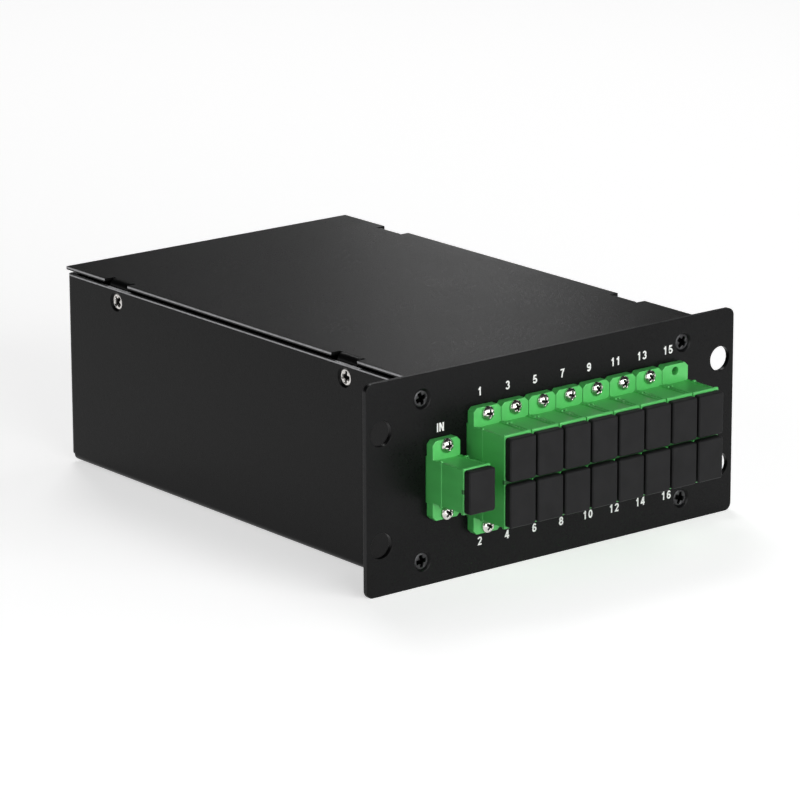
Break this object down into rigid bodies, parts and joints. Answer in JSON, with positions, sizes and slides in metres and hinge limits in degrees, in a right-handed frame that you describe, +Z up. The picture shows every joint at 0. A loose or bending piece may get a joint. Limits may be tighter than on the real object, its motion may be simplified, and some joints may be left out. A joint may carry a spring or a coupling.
{
  "type": "optical fibre splitter cassette",
  "caption": "Slim black metal cassette with a wide faceplate, green fibre adapters under dark dust caps, and an optical splitter in the folded case behind.",
  "frame": {"origin": "centre of the four faceplate fixing holes, on the rear face of the faceplate", "axes": "+X to the right seen from the front, +Y to the rear of the case, +Z up"},
  "size_m": [0.13, 0.1748, 0.0586],
  "materials": {
    "powder_coat": "fine-textured near-black powder coat on folded steel sheet",
    "black_screw": "black zinc plated steel screws",
    "nickel_screw": "nickel plated steel screws",
    "green_moulding": "satin green moulded plastic",
    "insert_moulding": "natural white moulded plastic",
    "plug_moulding": "green moulded plug housing with a white ceramic ferrule",
    "cap_moulding": "charcoal moulded plastic, fine matt texture",
    "zirconia": "polished white ceramic",
    "boot_rubber": "green rubber boots",
    "module_case": "satin metal case",
    "gland_rubber": "black rubber glands",
    "clip_nylon": "natural nylon clips",
    "loom_braid": "black woven sleeve",
    "fibre_jacket": "0.9 mm buffered fibre"
  },
  "bodies": {
    "cassette": {"front_panel": "powder_coat", "base_tray": "powder_coat", "top_cover": "powder_coat", "panel_screws": "black_screw", "cover_screws": "nickel_screw", "adapter_screws": "nickel_screw", "adapter_in": "green_moulding", "adapter_01_02": "green_moulding", "adapter_03_04": "green_moulding", "adapter_05_06": "green_moulding", "adapter_07_08": "green_moulding", "adapter_09_10": "green_moulding", "adapter_11_12": "green_moulding", "adapter_13_14": "green_moulding", "adapter_15_16": "green_moulding", "insert_in": "insert_moulding", "inserts_01_02": "insert_moulding", "inserts_03_04": "insert_moulding", "inserts_05_06": "insert_moulding", "inserts_07_08": "insert_moulding", "inserts_09_10": "insert_moulding", "inserts_11_12": "insert_moulding", "inserts_13_14": "insert_moulding", "inserts_15_16": "insert_moulding", "alignment_sleeves": "zirconia", "plug_in": "plug_moulding", "plugs_01_02": "plug_moulding", "plugs_03_04": "plug_moulding", "plugs_05_06": "plug_moulding", "plugs_07_08": "plug_moulding", "plugs_09_10": "plug_moulding", "plugs_11_12": "plug_moulding", "plugs_13_14": "plug_moulding", "plugs_15_16": "plug_moulding", "plug_boots": "boot_rubber", "splitter_module": "module_case", "module_glands": "gland_rubber", "module_clips": "clip_nylon", "fibre_loom": "loom_braid", "output_fibres": "fibre_jacket", "input_fibre": "fibre_jacket"},
    "cap_in": {"dust_cap_in": "cap_moulding"},
    "cap_01": {"dust_cap_01": "cap_moulding"},
    "cap_02": {"dust_cap_02": "cap_moulding"},
    "cap_03": {"dust_cap_03": "cap_moulding"},
    "cap_04": {"dust_cap_04": "cap_moulding"},
    "cap_05": {"dust_cap_05": "cap_moulding"},
    "cap_06": {"dust_cap_06": "cap_moulding"},
    "cap_07": {"dust_cap_07": "cap_moulding"},
    "cap_08": {"dust_cap_08": "cap_moulding"},
    "cap_09": {"dust_cap_09": "cap_moulding"},
    "cap_10": {"dust_cap_10": "cap_moulding"},
    "cap_11": {"dust_cap_11": "cap_moulding"},
    "cap_12": {"dust_cap_12": "cap_moulding"},
    "cap_13": {"dust_cap_13": "cap_moulding"},
    "cap_14": {"dust_cap_14": "cap_moulding"},
    "cap_15": {"dust_cap_15": "cap_moulding"},
    "cap_16": {"dust_cap_16": "cap_moulding"}
  },
  "joints": [
    {"name": "cap_in_pull", "type": "slide", "parent": "cassette", "child": "cap_in", "axis": [0, -1, 0], "range_m": [0, 0.03]},
    {"name": "cap_01_pull", "type": "slide", "parent": "cassette", "child": "cap_01", "axis": [0, -1, 0], "range_m": [0, 0.03]},
    {"name": "cap_02_pull", "type": "slide", "parent": "cassette", "child": "cap_02", "axis": [0, -1, 0], "range_m": [0, 0.03]},
    {"name": "cap_03_pull", "type": "slide", "parent": "cassette", "child": "cap_03", "axis": [0, -1, 0], "range_m": [0, 0.03]},
    {"name": "cap_04_pull", "type": "slide", "parent": "cassette", "child": "cap_04", "axis": [0, -1, 0], "range_m": [0, 0.03]},
    {"name": "cap_05_pull", "type": "slide", "parent": "cassette", "child": "cap_05", "axis": [0, -1, 0], "range_m": [0, 0.03]},
    {"name": "cap_06_pull", "type": "slide", "parent": "cassette", "child": "cap_06", "axis": [0, -1, 0], "range_m": [0, 0.03]},
    {"name": "cap_07_pull", "type": "slide", "parent": "cassette", "child": "cap_07", "axis": [0, -1, 0], "range_m": [0, 0.03]},
    {"name": "cap_08_pull", "type": "slide", "parent": "cassette", "child": "cap_08", "axis": [0, -1, 0], "range_m": [0, 0.03]},
    {"name": "cap_09_pull", "type": "slide", "parent": "cassette", "child": "cap_09", "axis": [0, -1, 0], "range_m": [0, 0.03]},
    {"name": "cap_10_pull", "type": "slide", "parent": "cassette", "child": "cap_10", "axis": [0, -1, 0], "range_m": [0, 0.03]},
    {"name": "cap_11_pull", "type": "slide", "parent": "cassette", "child": "cap_11", "axis": [0, -1, 0], "range_m": [0, 0.03]},
    {"name": "cap_12_pull", "type": "slide", "parent": "cassette", "child": "cap_12", "axis": [0, -1, 0], "range_m": [0, 0.03]},
    {"name": "cap_13_pull", "type": "slide", "parent": "cassette", "child": "cap_13", "axis": [0, -1, 0], "range_m": [0, 0.03]},
    {"name": "cap_14_pull", "type": "slide", "parent": "cassette", "child": "cap_14", "axis": [0, -1, 0], "range_m": [0, 0.03]},
    {"name": "cap_15_pull", "type": "slide", "parent": "cassette", "child": "cap_15", "axis": [0, -1, 0], "range_m": [0, 0.03]},
    {"name": "cap_16_pull", "type": "slide", "parent": "cassette", "child": "cap_16", "axis": [0, -1, 0], "range_m": [0, 0.03]}
  ]
}
